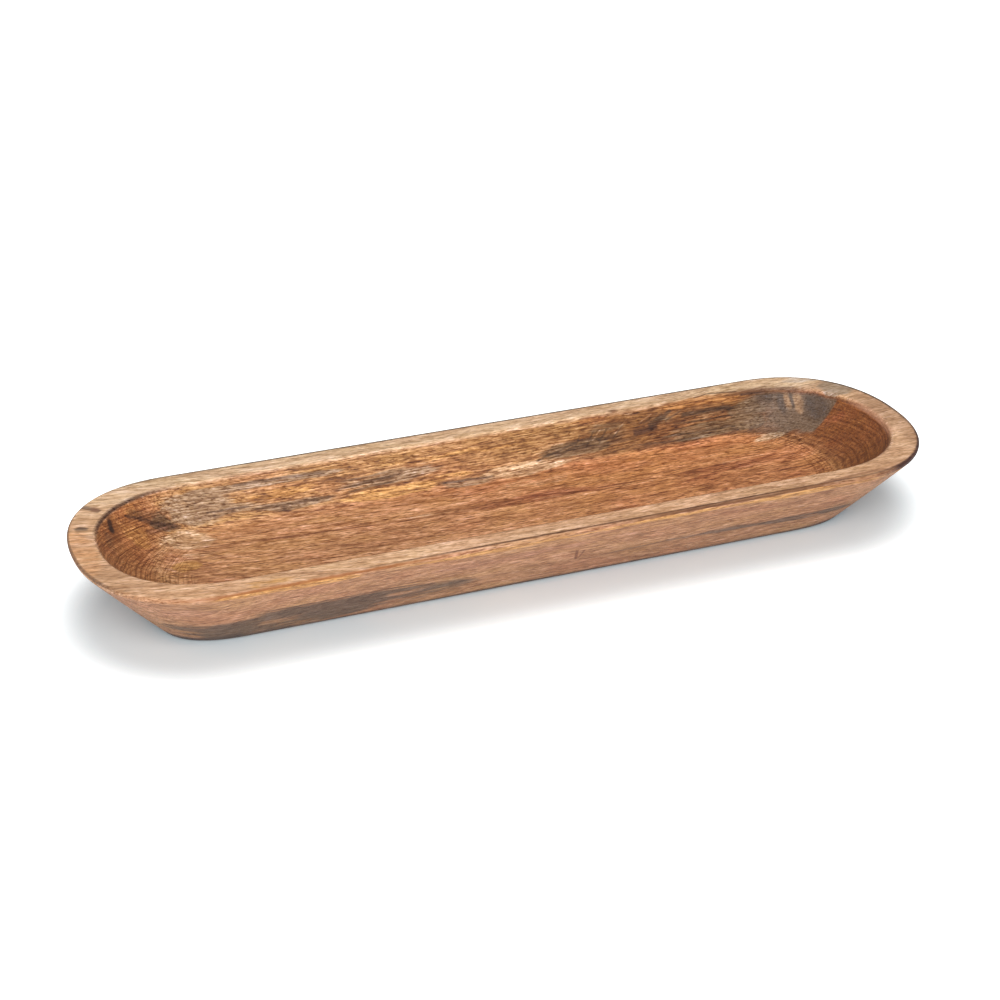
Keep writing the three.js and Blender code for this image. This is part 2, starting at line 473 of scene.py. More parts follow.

# Large figures in the wood; a few of their spots are painted shade or painted highlights, as noted. Each has
# a colour, a stray level at which it shows by itself, and soft spots
# that bring it out: middle and reach in millimetres, strength.
figures = {
    "red": {
        "colour": "a85f38", "stray": 0.02, "most": 0.65,
        "spots": [
            ((-150, 24, 26), (45, 4, 3), 0.5), ((25, 17, 26), (55, 8, 3), 0.8),
            ((95, 12, 26), (50, 4, 3), 0.4), ((155, 12, 26), (40, 7, 3), 0.7),
            ((40, -3, 26), (60, 5, 3), 0.4), ((78, 57, 46), (16, 14, 6), 0.6),
            # the spot at (-232, 12, 44) is painted shade on the steep wall under the left end's rim
            ((225, 24, 40), (10, 9, 14), 0.6), ((-232, 12, 44), (8, 24, 10), 0.5),
        ],
    },
    "amber": {
        "colour": "dda35c", "stray": -0.1, "most": 0.85,
        "spots": [
            ((-57, 50, 29), (34, 10, 3.2), 1.5), ((-122, 54, 38.5), (28, 12, 3.4), 0.9),
            ((-5, 57, 42.5), (65, 12, 2.4), 0.75), ((-20, 52, 31), (24, 12, 2.0), 0.7),
            # the spots along the near rim's outer band, at Y -64 to -74, are a painted highlight
            ((-155, -74, 47.3), (54, 14, 3.4), 1.15), ((-45, -74, 47.4), (56, 14, 3), 1.05),
            ((150, -73, 46.8), (44, 14, 3), 1.0), ((210, -64, 46.6), (34, 16, 3), 0.8),
            ((55, -74, 47.6), (66, 14, 2.6), 0.95), ((-190, 9, 27), (11, 8, 4), 1.3),
            ((75, 40, 26), (18, 5, 3), 0.5),
        ],
    },
    "bronze": {
        "colour": "c6884a", "stray": -0.15, "most": 0.85,
        "spots": [
            ((157, 58, 48.2), (42, 12, 3.4), 1.5), ((-209, 36, 35), (9, 9, 12), 1.0),
            ((-222, 36, 42), (9, 11, 12), 0.7), ((-211, 50, 46), (14, 8, 7), 0.7),
            ((78, 57, 46), (20, 14, 6), 0.6), ((130, 57, 40), (20, 14, 3), 0.5),
            ((20, 57, 48), (70, 12, 2), 0.5),
        ],
    },
    "pale": {
        "colour": "ecc294", "stray": -0.08, "most": 0.75,
        "spots": [
            ((30, 51, 29.5), (34, 12, 3.6), 1.15), ((-184, 39, 28), (22, 9, 5), 1.0),
            ((-180, 28, 26), (20, 14, 3), 0.7), ((190, 38, 27), (18, 4, 4), 0.95),
            # the long thin spot at Y 62.2 is a painted highlight on the far rim's inner edge
            ((-35, 19, 26), (26, 4, 3), 0.5), ((0, 62.2, 51), (200, 2.6, 2), 0.7),
            ((-211, 57, 51), (26, 10, 3), 0.6), ((150, -14, 26), (50, 6, 3), 0.3),
        ],
    },
    "olive": {
        "colour": "836645", "stray": -0.25, "most": 0.85,
        "spots": [
            ((182, 54, 38), (14, 12, 13), 1.0), ((120, 57, 43), (13, 12, 7), 0.7),
            ((58, 54, 34), (28, 14, 5.5), 1.15), ((150, 53, 31), (48, 14, 6), 1.1),
            ((86, 55, 40), (20, 14, 11), 0.75), ((160, 56, 40), (36, 14, 4), 0.75),
            ((-199, 50, 40), (14, 8, 8), 0.75), ((-192, 47.4, 33.4), (12, 6, 5), 1.1),
            ((-186, 57, 45), (14, 8, 6), 0.4),
        ],
    },
    "smoke": {
        "colour": "ab8b69", "stray": -0.2, "most": 0.85,
        "spots": [
            ((-172, 54, 40), (28, 12, 9), 1.15), ((-122, 57, 44.6), (50, 12, 2.8), 1.2),
            ((-150, 52, 34), (26, 12, 3), 0.9), ((-112, 51.5, 31.5), (30, 12, 2.8), 1.1),
            ((-55, 54.5, 36.5), (46, 12, 5.4), 1.1), ((-8, 49, 27.8), (24, 8, 1.8), 1.0),
            ((-176, 51.6, 34), (12, 8, 5), 0.85), ((-168, 50.4, 30.6), (14, 8, 3.2), 0.8),
            ((176, 53, 36), (10, 12, 10), 0.5),
        ],
    },
    "slate": {
        "colour": "5f4e3f", "stray": -0.3, "most": 0.85,
        "spots": [
            ((-82, -48.5, 14), (62, 20, 13), 1.0), ((-150, -46, 11), (54, 22, 17), 1.0),
            ((-120, -54, 22), (60, 12, 4), 0.5), ((-200, -40, 9), (32, 30, 18), 0.7),
            ((-212, -42, 20), (16, 22, 8), 0.45), ((38, -49.5, 18), (32, 8, 4.5), 0.7),
            ((112, -52, 20.5), (24, 10, 5.5), 1.0), ((160, -51, 17.5), (40, 12, 4.6), 1.15),
            ((192, -46, 21), (20, 14, 5.5), 0.9), ((-243, 24, 51), (6, 8, 3), 0.9),
        ],
    },
    "mauve": {
        "colour": "b98468", "stray": -0.05, "most": 0.6,
        "spots": [
            ((-35, -62, 36), (55, 20, 8), 0.8), ((35, -62, 34), (34, 20, 9), 0.6),
            ((-150, -66, 37), (60, 20, 6), 0.4), ((-205, -52, 35), (24, 20, 9), 0.7),
            ((-140, 38, 26), (30, 8, 3), 0.5), ((-95, 40, 26), (30, 6, 3), 0.5),
            ((-168, 20, 26), (20, 16, 5), 0.5),
        ],
    },
    "ash": {
        "colour": "a8937a", "stray": -0.3, "most": 0.75,
        "spots": [((236, 43, 51), (15, 15, 4), 1.25)],
    },
    "dusk": {
        "colour": "cfa178", "stray": -0.3, "most": 0.9,
        "spots": [
            ((247, -2, 51), (15, 56, 5), 1.2), ((226, -52, 51), (30, 24, 5), 0.7),
            ((-236, -38, 51), (24, 28, 5), 1.1), ((-250, -6, 51), (9, 26, 5), 0.7),
        ],
    },
    "apricot": {
        "colour": "e5aa75", "stray": -0.3, "most": 0.9,
        "spots": [
            ((-249, 0, 51), (14, 42, 5), 1.0), ((209, 61, 51), (12, 6, 4), 0.7),
            ((28, 36, 26), (38, 8, 3), 1.0),
        ],
    },
    "frost": {
        "colour": "e2c8ac", "stray": -0.35, "most": 0.8,
        "spots": [((226, 63, 51), (24, 9, 4), 1.1), ((-150, 72, 51), (60, 3, 3), 0.6)],
    },
}

# The grey corner: heartwood that follows the far wall down to the floor, and ends towards +X at one clean
# line across the grain. Lengths are in metres, apart from the spots: middle and reach in millimetres.
greyCorner = {
    "colour": "77604a", "deep": "57463a", "light": "b38b64", "most": 0.94,
    "start": (0.172, 0.200),           # along X
    "line": (0.3, -0.0385),            # its slope and place in plan
    "bottom": (0.0275, 0.20),          # height, and slope past bottomTurn
    "bottomTurn": 0.190,
    "top": 0.0486,
    "lineFade": (-0.0008, 0.0008), "bottomFade": (-0.0006, 0.0012), "topFade": (0.0012, -0.0016),
    "raggedStart": 0.02,               # how far the ribbons of the grain move its start
    "raggedEdge": 0.003,               # and its bottom and top
    "spotStrength": 0.9,
    "lightSpots": [
        ((206.2, 50, 44), (2.2, 9, 4.6)), ((212, 47, 44), (2.8, 8, 5.2)), ((211, 45, 39.6), (2.2, 8, 2.4)),
    ],
    "deepSpots": [
        ((220, 38, 43), (9, 12, 10)), ((202.6, 51, 43), (2.6, 9, 8)), ((192, 56, 46), (9, 7, 5)),
        ((208.8, 49, 44.5), (0.9, 8, 5)), ((217.5, 42, 43), (2.0, 8, 6)),
    ],
}

# Knots and bruises: middle and reach in millimetres, colour, strength
knots = [
    ((-224.5, 34, 43), (5, 12, 9), "74411f", 0.6),
    ((-225.4, 36.6, 46.8), (2.0, 3.6, 3.4), "33190f", 0.9),
    ((-225.2, 33.0, 44.6), (2.4, 3.2, 3.0), "241512", 0.92),
    ((-231, 46.5, 51), (3.2, 4.5, 2), "8a5a40", 0.6),
    ((92, 62.0, 51), (3.5, 2.4, 2), "7e5030", 0.85),
    ((22, 19, 26), (7, 2.4, 2), "8f4b2c", 0.5),
]

# Single strokes, by colour: from and to in millimetres, half their width, strength. The note of a place
# holds for the lines below it too.
strokes = {
    "7c4020": [
        ((-178, 28, 26), (-122, 20, 26), 1.3, 0.55),  # floor
        ((-150, 24.4, 26), (-70, 17, 26), 1.2, 0.8),
        ((-66, 16.5, 26), (-18, 14, 26), 1.1, 0.6),
        ((-14, 14.5, 26), (24, 19, 26), 1.3, 0.7),
        ((20, 19, 26), (64, 11.4, 26), 1.5, 0.85),
        ((58, 15, 26), (104, 13.5, 26), 1, 0.65),
        ((104, 13.5, 26), (150, 16.5, 26), 1.1, 0.65),
        ((140, -4, 26), (192, -4.5, 26), 1.1, 0.6),
    ],
    "92461f": [
        ((112, 2, 26), (148, 9, 26), 2.2, 0.6),  # floor
        ((146, 8, 26), (184, 18, 26), 2, 0.6),
    ],
    "e6b88b": [
        ((100, 58.4, 46), (90, 55, 38.5), 0.6, 0.4),  # far wall
        ((82, 57, 43), (75, 54, 36.5), 0.6, 0.4),
        ((117, 58.6, 46.6), (107, 56.4, 42), 0.7, 0.4),
        ((-60, 19, 26), (-20, 16.5, 26), 0.8, 0.3),  # floor
        ((18, 15.5, 26), (60, 8, 26), 0.8, 0.3),
        ((62, 12.6, 26), (100, 11.6, 26), 0.8, 0.3),
        ((144, 17.5, 26), (176, 19.5, 26), 0.9, 0.3),
        # these two are a painted highlight along the fillet where the floor meets the grey corner
        ((180, 43, 28), (204, 33, 28), 0.7, 0.75),
        ((180, 39.6, 27), (198, 32, 27), 0.6, 0.6),
        ((-170, 34, 26), (-184, 16, 26), 0.8, 0.2),
        ((95, 60.6, 49.4), (105, 60, 48), 1.3, 0.6),  # far wall
    ],
    "945c3a": [
        ((-180, 27, 26), (-166, 9, 26), 1.6, 0.55),  # floor
        ((-190, 22, 27), (-174, 4, 26), 1.2, 0.45),
        ((158, -73.5, 51), (208, -69.5, 51), 1.8, 0.7),  # rim
    ],
    "705440": [
        ((-152, 58, 46), (-92, 58, 44.6), 1.3, 0.7),  # far wall
        ((-168, 53, 34), (-140, 53, 33.6), 1, 0.7),
        ((-92, 52.5, 34), (-24, 56, 39), 1.2, 0.7),
        ((-88, 55, 37.6), (-36, 56, 39.6), 0.9, 0.6),
        ((-238, 54, 51), (-228.5, 43.5, 51), 2.8, 0.85),  # rim
        ((-160, -53.5, 22.8), (-130, -52.5, 21.6), 1.2, 0.7),  # outside
    ],
    "68462c": [
        ((-214, 46.5, 45), (-188, 50.5, 38), 5.0, 0.6),  # left end
        ((-202, 46.8, 36), (-184, 47, 31), 4.0, 0.6),
        # painted shade on the steep wall under the left end's rim
        ((-228, 30, 45), (-226, 4, 43), 5.0, 0.6),
        ((-136, 52, 32.6), (-98, 51, 30.8), 1.3, 0.75),  # far wall
        ((56, 55, 38.6), (100, 54.6, 37), 1, 0.6),
        ((106, 53.5, 34.6), (60, 52.5, 33), 1.3, 0.6),
        ((156, 63.6, 51), (177, 60.8, 50.8), 1.1, 0.85),  # rim
    ],
    "5a412c": [
        ((-84, 51.8, 32), (-34, 53.5, 34.6), 0.9, 0.7),  # far wall
        ((36, 51.5, 31), (66, 54.5, 37.6), 1.1, 0.8),
        ((48, 52, 32), (84, 55.5, 38.4), 1.1, 0.75),
        ((130, 58.6, 46.8), (121, 57, 42), 1.8, 0.85),
        ((125, 57.8, 44.5), (113, 55.4, 39), 3.2, 0.9),
        ((137, 58.4, 46), (124, 56, 40.5), 0.9, 0.6),
        ((121, 58.6, 46.5), (109, 56, 41), 0.8, 0.5),
        ((96, 57, 43), (88, 53.6, 35.5), 0.8, 0.6),
        ((86, 57, 43), (79, 53.4, 35), 0.9, 0.65),
        ((77, 56.6, 42), (70, 52.6, 33), 0.9, 0.65),
        ((68, 56.4, 41.5), (62, 52.4, 33), 0.8, 0.6),
        ((134, 57, 43.2), (172, 56.8, 42.6), 2.1, 0.92),
        ((128, 55, 38.4), (190, 55, 37.6), 0.9, 0.7),
        ((118, 52, 32.4), (190, 51.6, 31.4), 0.9, 0.7),
        ((104, 51, 30.2), (150, 50, 28.8), 0.9, 0.6),
        ((186, 57.6, 45), (214, 52, 43), 0.8, 0.7),
        ((-168, -55.8, 25.6), (-72, -55.4, 25), 1.3, 0.85),  # outside
    ],
    "87592b": [
        ((-100, 57, 42.4), (8, 57, 41.8), 0.7, 0.6),  # far wall
        ((62, -47, 12.6), (92, -44.5, 8.2), 1.3, 0.7),  # outside
        ((90, -44.5, 8.2), (134, -46, 9.8), 1.3, 0.6),
    ],
    "7f6756": [
        ((-26, 49, 28.4), (10, 48.5, 27.6), 1.2, 0.8),  # far wall
        ((58, -49.5, 16), (82, -46.5, 11.6), 1.3, 0.6),  # outside
        ((40, -49.4, 17.6), (80, -51.4, 20.4), 1.5, 0.6),
        ((72, -51.4, 20.4), (126, -50.2, 18.8), 2.2, 0.75),
        ((118, -50.2, 18.6), (158, -48.5, 16.6), 1.6, 0.6),
    ],
    "4d2b19": [
        ((120, 55.4, 38.6), (102, 54.2, 36.6), 2.6, 0.92),  # far wall
        ((150, 60.8, 48.8), (184, 60, 48.4), 0.9, 0.7),
        ((176, 60, 48.6), (206, 57, 47.8), 1.3, 0.9),
        ((202, 57.4, 48.4), (221, 49.5, 48.4), 1.3, 0.9),
        ((-216, 45.4, 44.5), (-205, 47.4, 39.5), 1.7, 0.85),  # left end
        ((-208, 47.3, 41), (-198, 46.6, 36), 2.6, 0.85),
        ((-202, 46.6, 37), (-182, 47.5, 30.5), 2.2, 0.75),
        ((-236, 20, 46), (-226, 40, 46), 1.2, 0.5),
    ],
    "7b4a30": [
        ((146, 61.2, 51), (157, 63.6, 51), 1, 0.8),  # rim
        ((-205, 41, 34), (-190, 46, 32), 2.2, 0.6),  # left end
        ((16.4, -59, 29.5), (19.6, -49.5, 17.5), 1.3, 0.85),  # outside
        ((21.8, -58, 28), (20.4, -50.5, 18.6), 1.1, 0.75),
    ],
    "9a7358": [
        ((-246, 20, 51), (-239, 14, 51), 1.6, 0.5),  # rim
    ],
    "b1673f": [
        ((-56, -46, 10), (-46, -45, 8.6), 2.2, 0.75),  # outside
        ((4, -50, 16.4), (14, -48.6, 14), 1.8, 0.6),
    ],
}

# Lines along the edges, some of them painted shade or painted shadow as noted: where "across" has them, half
# their width, spot, colour and strength
edgeLines = [
    (-0.0006, 0.0009, (0, 0, 50), (400, 200, 10), "8a5c3a", 0.3),
    (0.0003, 0.0009, (50, -72, 51), (180, 14, 8), "552c0c", 1.0),
    (0.0003, 0.0021, (0, 74, 51), (270, 14, 8), "6a5646", 1.0),
    (0.0003, 0.0020, (242, 26, 51), (30, 50, 8), "5f4a3a", 1.0),
    (-0.0006, 0.0011, (-250, -8, 51), (16, 60, 8), "6a4c38", 0.8),
    (-0.0011, 0.0012, (-140, -72, 50), (80, 18, 8), "8f5322", 0.9),
    (-0.0009, 0.0011, (105, -73, 50), (70, 14, 8), "5e3519", 0.9),
    # painted shade on the outer band at the right end's near corner
    (-0.0012, 0.0026, (230, -44, 50), (42, 44, 10), "43221a", 1.2),
    # painted shadow under the crisp inner edge at the far left
    (0.0148, 0.0012, (-216, 42, 50), (40, 32, 10), "3a1a0c", 0.95),
    (0.0150, 0.0014, (196, 57, 50), (36, 12, 8), "5a3620", 0.8),
    (0.0154, 0.0020, (238, -4, 50), (9, 34, 8), "c08a6c", 0.6),
    # painted contact shadow: the last three darken the foot just above the table, more at the ends
    (-0.0500, 0.0030, (0, 0, 0), (400, 200, 12), "45342a", 1.0),
    (-0.0488, 0.0050, (-200, -30, 0), (60, 60, 14), "41322a", 0.95),
    (-0.0490, 0.0044, (215, -25, 0), (50, 60, 14), "41322a", 0.85),
]


def noise(place, cells, detail=2.0, roughness=0.5, output=0):
    graph = place.graph
    spread = graph.vector("MULTIPLY", place, cells)
    return graph.make("ShaderNodeTexNoise", None, {
        "Vector": spread, "Scale": 1.0, "Detail": detail, "Roughness": roughness,
    }, output)


def lines(distance, spacing, detail, roughness=0.6):
    # uneven bands along one distance
    return distance.graph.make("ShaderNodeTexNoise", {"noise_dimensions": "1D"}, {
        "W": distance / spacing, "Scale": 1.0, "Detail": detail, "Roughness": roughness,
    })


def smooth(value, limits, most=1.0):
    # 0 at the first limit, most at the second; the curve stays between them, so it needs no clamp
    return value.graph.make("ShaderNodeMapRange", {"interpolation_type": "SMOOTHSTEP", "clamp": False},
                            {0: value, 1: limits[0], 2: limits[1], 4: most})


def drift(place, cells, reach):
    # a slow random offset, up to half the reach either way
    graph = place.graph
    apart = graph.make("ShaderNodeSeparateColor", None, {0: noise(place, cells, output=1)}).socket.node
    offsets = [(Wire(graph, socket) - 0.5) * size for socket, size in zip(apart.outputs, reach)]
    return graph.make("ShaderNodeCombineXYZ", None, dict(enumerate(offsets)))


def blend(factor, under, over, kind="MIX"):
    graph = next(item.graph for item in (factor, under, over) if isinstance(item, Wire))
    return graph.make("ShaderNodeMix", {"data_type": "RGBA", "blend_type": kind},
                      {0: factor, 6: under, 7: over}, 2)


def makeGroup(name, inputs, form):
    # a group node's tree: form turns the inputs' wires into the one output
    tree = bpy.data.node_groups.new(name, "ShaderNodeTree")
    tree.interface.new_socket("Mask", in_out="OUTPUT", socket_type="NodeSocketFloat")
    for label, kind in inputs.items():
        tree.interface.new_socket(label, in_out="INPUT", socket_type="NodeSocket" + kind)
    graph = Graph(tree)
    given = graph.make("NodeGroupInput").socket.node
    mask = form(graph, *(Wire(graph, socket) for socket in given.outputs[:len(inputs)]))
    graph.make("NodeGroupOutput", None, {"Mask": mask})
    return tree


def spotForm(graph, place, spread, shift, most):
    # most within a soft ellipsoid, 0 outside it
    away = graph.make("ShaderNodeVectorMath", {"operation": "MULTIPLY_ADD"}, {0: place, 1: spread, 2: shift})
    return smooth(graph.vector("LENGTH", away, (0, 0, 0), "Value"), softness["spot"], most)


def strokeForm(graph, place, start, span, perLength, halfWidth, most):
    # most along a soft line that tapers at both ends
    away = graph.vector("SUBTRACT", place, start)
    share = graph.vector("DOT_PRODUCT", away, perLength, "Value")
    share = share.math("MAXIMUM", 0.0).math("MINIMUM", 1.0)
    nearest = graph.make("ShaderNodeVectorMath", {"operation": "SCALE"}, {0: span, "Scale": share})
    gap = graph.vector("DISTANCE", away, nearest, "Value")
    body = smooth(gap, (halfWidth, halfWidth * softness["strokeCore"]), most)
    return body * smooth(share.math("PINGPONG", 0.5), (0.0, softness["strokeTaper"]))


spotGroup = makeGroup("softSpot", {
    "Place": "Vector", "Spread": "Vector", "Shift": "Vector", "Most": "Float",
}, spotForm)
strokeGroup = makeGroup("softStroke", {
    "Place": "Vector", "Start": "Vector", "Span": "Vector", "Per length": "Vector", "Half width": "Float",
    "Most": "Float",
}, strokeForm)


def spot(place, middle, reach, most):
    # middle and reach in millimetres
    spread = tuple(1000 / r for r in reach)
    shift = tuple(-m / r for m, r in zip(middle, reach))
    return place.graph.make("ShaderNodeGroup", {"node_tree": spotGroup},
                            {"Place": place, "Spread": spread, "Shift": shift, "Most": most})


def stroke(place, start, end, halfWidth, most):
    # all in millimetres
    first = Vector(start) / 1000
    span = Vector(end) / 1000 - first
    return place.graph.make("ShaderNodeGroup", {"node_tree": strokeGroup}, {
        "Place": place, "Start": tuple(first), "Span": tuple(span),
        "Per length": tuple(span / span.length_squared), "Half width": halfWidth / 1000, "Most": most,
    })


def bendGrain(place, x, look):
    # the grain sags across the bowl and wanders gently from straight
    graph = place.graph
    leftwards, rightwards = x.math("MINIMUM", 0.0), x.math("MAXIMUM", 0.0)
    sag = leftwards * leftwards * look["sag"][0] + rightwards * rightwards * look["sag"][1]
    reach = look["wander"] * 2
    swayed = graph.vector("ADD", place, drift(place, look["wanderCells"], (0.0, reach, reach)))
    bend = graph.make("ShaderNodeCombineXYZ", None, {1: sag})
    return swayed, graph.vector("SUBTRACT", swayed, bend)


def makeFibres(grain, x, look):
    # the dashes slant a little, and the hairs follow the middle level of their noise
    graph = grain.graph
    slant = graph.make("ShaderNodeCombineXYZ", None, {1: x * look["dashSlant"]})
    slanted = graph.vector("ADD", grain, slant)
    fibres = {}
    for name, form in look["fibres"].items():
        fibres[name] = noise(slanted if name == "dashes" else grain, *form)
    hairs = smooth((fibres["hairs"] - 0.5).math("ABSOLUTE"), (look["hairWidth"], 0.0))
    fibres["hairs"] = hairs * smooth(fibres["strands"], look["hairStrands"])
    cells = graph.vector("MULTIPLY", grain, look["poreCells"])
    pores = graph.make("ShaderNodeTexVoronoi", None, {"Vector": cells, "Scale": 1.0}, "Distance")
    fibres["pores"] = smooth(pores, look["poreEdge"]) * smooth(fibres["strands"], look["poreStrands"])
    return fibres


def makeZones(limits, x, z, along, across, inset, sideways):
    inside = smooth(across, limits["hollow"])
    onFloor = smooth(z, limits["floor"]) * inside
    endFace = smooth(sideways, limits["end"]) * inside
    return {
        "inside": inside,
        "onFloor": onFloor,
        "endFace": endFace,
        "onRim": smooth(across, limits["rim"]) * (1 - inside),
        "onWall": inside * (1 - onFloor) * (1 - endFace),
        "toRight": smooth(along, limits["right"]),
        "swept": smooth(x.math("ABSOLUTE"), limits["swept"]) * inside * smooth(inset, limits["sweptInset"]),
    }


def plainTone(look, zones, along, y, z, fibres):
    # each zone's own colour, the far rim painted paler as painted light, the wide soft changes over them
    # all, and painted shade on the outside near the table
    limits = look["zones"]
    floorTone = blend(smooth(along, limits["floorRight"]), look["floorLeft"], look["floorRight"])
    wallTone = blend(smooth(along, limits["wallRight"]), look["wallLeft"], look["wallRight"])
    endTone = blend(zones["toRight"], look["endLeft"], look["endRight"])
    # painted light: the rim turns paler towards its far side
    rimTone = blend(smooth(y, limits["rimFarPaintedLight"]), look["rim"], look["rimFarPaintedLight"])
    tone = blend(zones["inside"], look["outside"], blend(zones["onWall"], floorTone, wallTone))
    tone = blend(zones["endFace"] * look["endShare"], tone, endTone)
    tone = blend(zones["onRim"], tone, rimTone)
    for name, levels, strength, onRim, kind in look["mottling"]:
        factor = smooth(fibres[name], levels) * pick(zones["onRim"], onRim, strength)
        tone = blend(factor, tone, look[kind], "MULTIPLY")
    # painted shade: the outside darkens towards the table
    return blend(smooth(z, limits["low"]) * (1 - zones["inside"]), tone, look["low"], "MULTIPLY")


def addFigures(tone, figures, grain, place, strands):
    # each figure has its own streaky field, raised where its spots are
    for number, figure in enumerate(figures.values()):
        shifted = grain.graph.vector("ADD", grain, (softness["figureShift"] * (number + 1), 0.0, 0.0))
        field = noise(shifted, softness["figureCells"], *softness["figureDetail"])
        field = field * softness["figureContrast"] + strands * softness["figureStrands"]
        raised = 0.0
        for middle, reach, strength in figure["spots"]:
            raised = spot(place, middle, reach, strength) + raised
        level = field + (figure["stray"] + softness["figureLevel"]) + raised
        tone = blend(smooth(level, softness["figure"], figure["most"]), tone, paint(figure["colour"]))
    return tone


def cornerMask(corner, x, y, z, ribbons):
    slope, start = corner["line"]
    height, climb = corner["bottom"]
    ragged = ribbons - 0.5
    raggedZ = z + ragged * corner["raggedEdge"]
    floorLine = raggedZ - (x - corner["bottomTurn"]).math("MAXIMUM", 0.0) * climb - height
    mask = smooth(y - x * slope - start, corner["lineFade"]) * smooth(floorLine, corner["bottomFade"])
    mask = mask * smooth(x + ragged * corner["raggedStart"], corner["start"])
    mask = mask * smooth(raggedZ, [corner["top"] + fade for fade in corner["topFade"]])
    return mask * corner["most"]


def addStrokes(tone, strokes, place, broken):
    # the strokes of one colour go on together
    for code, group in strokes.items():
        mask = 0.0
        for start, end, halfWidth, strength in group:
            mask = stroke(place, start, end, halfWidth, strength).math("MAXIMUM", mask)
        tone = blend(mask * broken, tone, paint(code))
    return tone


def addLines(tone, field, strength, lightShare, look):
    # rings or arcs; dark lines deepen the colour more than they blacken it
    tone = blend(smooth(field, look["darkLine"]) * strength, tone, look["dark"], "MULTIPLY")
    return blend(smooth(field, look["lightLine"], lightShare) * strength, tone, look["light"], "MULTIPLY")


def makeWood(look, figures, greyCorner, knots, strokes, edgeLines):
    material = bpy.data.materials.new("oiledHardwood")
    material.use_nodes = True
    graph = Graph(material.node_tree)
    shader = material.node_tree.nodes["Principled BSDF"]
    place = graph.make("ShaderNodeTexCoord", output="Object")
    facing = graph.make("ShaderNodeTexCoord", output="Normal")
    across = graph.make("ShaderNodeAttribute", {"attribute_name": "across"}, output=2)
    inset = graph.make("ShaderNodeAttribute", {"attribute_name": "inset"}, output=2)
    x, y, z = graph.parts(place)
    along = (x + bowlSize.x / 2) / bowlSize.x
    swayed, grain = bendGrain(place, x, look)
    grainY, grainZ = graph.parts(grain)[1:]

    # growth rings, nearly level, that show as contours where the bowl is hollowed
    tilt = pick(along, look["ringTilt"][1], look["ringTilt"][0])
    rings = lines(grainZ + grainY * tilt, look["ringSpacing"], look["ringDetail"])
    fibres = makeFibres(grain, x, look)
    strands, ribbons = fibres["strands"], fibres["ribbons"]
    sideways = graph.parts(facing)[0].math("ABSOLUTE")
    zones = makeZones(look["zones"], x, z, along, across, inset, sideways)
    inside, endFace, toRight = zones["inside"], zones["endFace"], zones["toRight"]

    # scraper marks that show as nested arcs where the ends sweep up
    stray = (noise(place, look["arcStrayCells"]) - 0.5) * look["arcStray"]
    arcSpacing = pick(toRight, look["arcSpacing"][1], look["arcSpacing"][0])
    arcs = lines(inset - y * (1 - toRight) * look["arcTilt"] + stray, arcSpacing, look["arcDetail"])

    # what is placed one by one has its edges frayed and its strength broken by the grain
    fray = drift(grain, softness["frayCells"], (softness["fray"],) * 3)
    uneven = graph.vector("ADD", place, fray)
    unevenSwayed = graph.vector("ADD", swayed, fray)
    broken = softness["broken"][0] + strands * softness["broken"][1]
    tone = plainTone(look, zones, along, y, z, fibres)
    tone = addFigures(tone, figures, grain, unevenSwayed, strands)
    corner = cornerMask(greyCorner, x, y, z, ribbons) * inside
    tone = blend(corner, tone, paint(greyCorner["colour"]))
    for kind in ("light", "deep"):
        for middle, reach in greyCorner[kind + "Spots"]:
            mask = spot(unevenSwayed, middle, reach, greyCorner["spotStrength"])
            tone = blend(mask * corner * broken, tone, paint(greyCorner[kind]))
    tone = addStrokes(tone, strokes, uneven, broken)

    show = look["fibreShow"]
    inHollow = pick(endFace, show["end"], show["hollow"])
    fine = pick(inside, inHollow, pick(zones["onRim"], show["rim"], show["outside"]))
    fine = fine * (1 - corner * show["corner"])
    for name, levels, strength, kind in look["texture"]:
        factor = (smooth(fibres[name], levels, strength) * fine).math("MINIMUM", 1.0)
        tone = blend(factor, tone, look[kind], "MULTIPLY")
    tone = blend(fibres["hairs"] * fine * look["hairShow"], tone, look["dark"], "MULTIPLY")
    show = look["ringShow"]
    onEnd = pick(toRight, show["endRight"], show["endLeft"])
    inHollow = pick(endFace, onEnd, pick(zones["onFloor"], show["floor"], show["wall"]))
    ringShow = pick(inside, inHollow, show["outside"]) * (1 - corner * show["corner"])
    tone = addLines(tone, rings, ringShow, look["lightShare"][0], look)
    show = look["arcShow"]
    atRight = pick(endFace, show["endRight"], show["right"])
    atLeft = pick(endFace, show["endLeft"], show["left"])
    arcShow = pick(toRight, atRight, atLeft) * zones["swept"] * (1 - corner * show["corner"])
    tone = addLines(tone, arcs, arcShow, look["lightShare"][1], look)
    tone = blend(fibres["pores"] * look["poreShow"], tone, look["poreDark"], "MULTIPLY")
    for middle, reach, colour, strength in knots:
        tone = blend(spot(unevenSwayed, middle, reach, strength), tone, paint(colour))
    offBase = 1 - smooth(z, look["zones"]["base"])
    for where, halfWidth, middle, reach, colour, strength in edgeLines:
        line = smooth((across - where).math("ABSOLUTE"), (halfWidth, halfWidth * softness["edgeCore"]))
        mask = line * spot(uneven, middle, reach, strength) * broken * offBase
        tone = blend(mask, tone, paint(colour))

    rough = look["roughness"] + (strands - 0.5) * look["strandRoughness"]
    rough = rough + fibres["pores"] * look["poreRoughness"]
    relief = sum(fibres[name] * height for name, height in look["relief"].items())
    relief = relief - smooth(arcs, look["darkLine"], look["arcRelief"]) * zones["swept"]
    relief = relief - smooth(rings, look["darkLine"], look["ringRelief"]) * inside
    bump = graph.make("ShaderNodeBump", None, {
        "Strength": look["bumpStrength"], "Distance": look["bumpHeight"], "Height": relief,
    })
    for name, wire in (("Base Color", tone), ("Roughness", rough), ("Normal", bump)):
        graph.tree.links.new(wire.socket, shader.inputs[name])
    return material


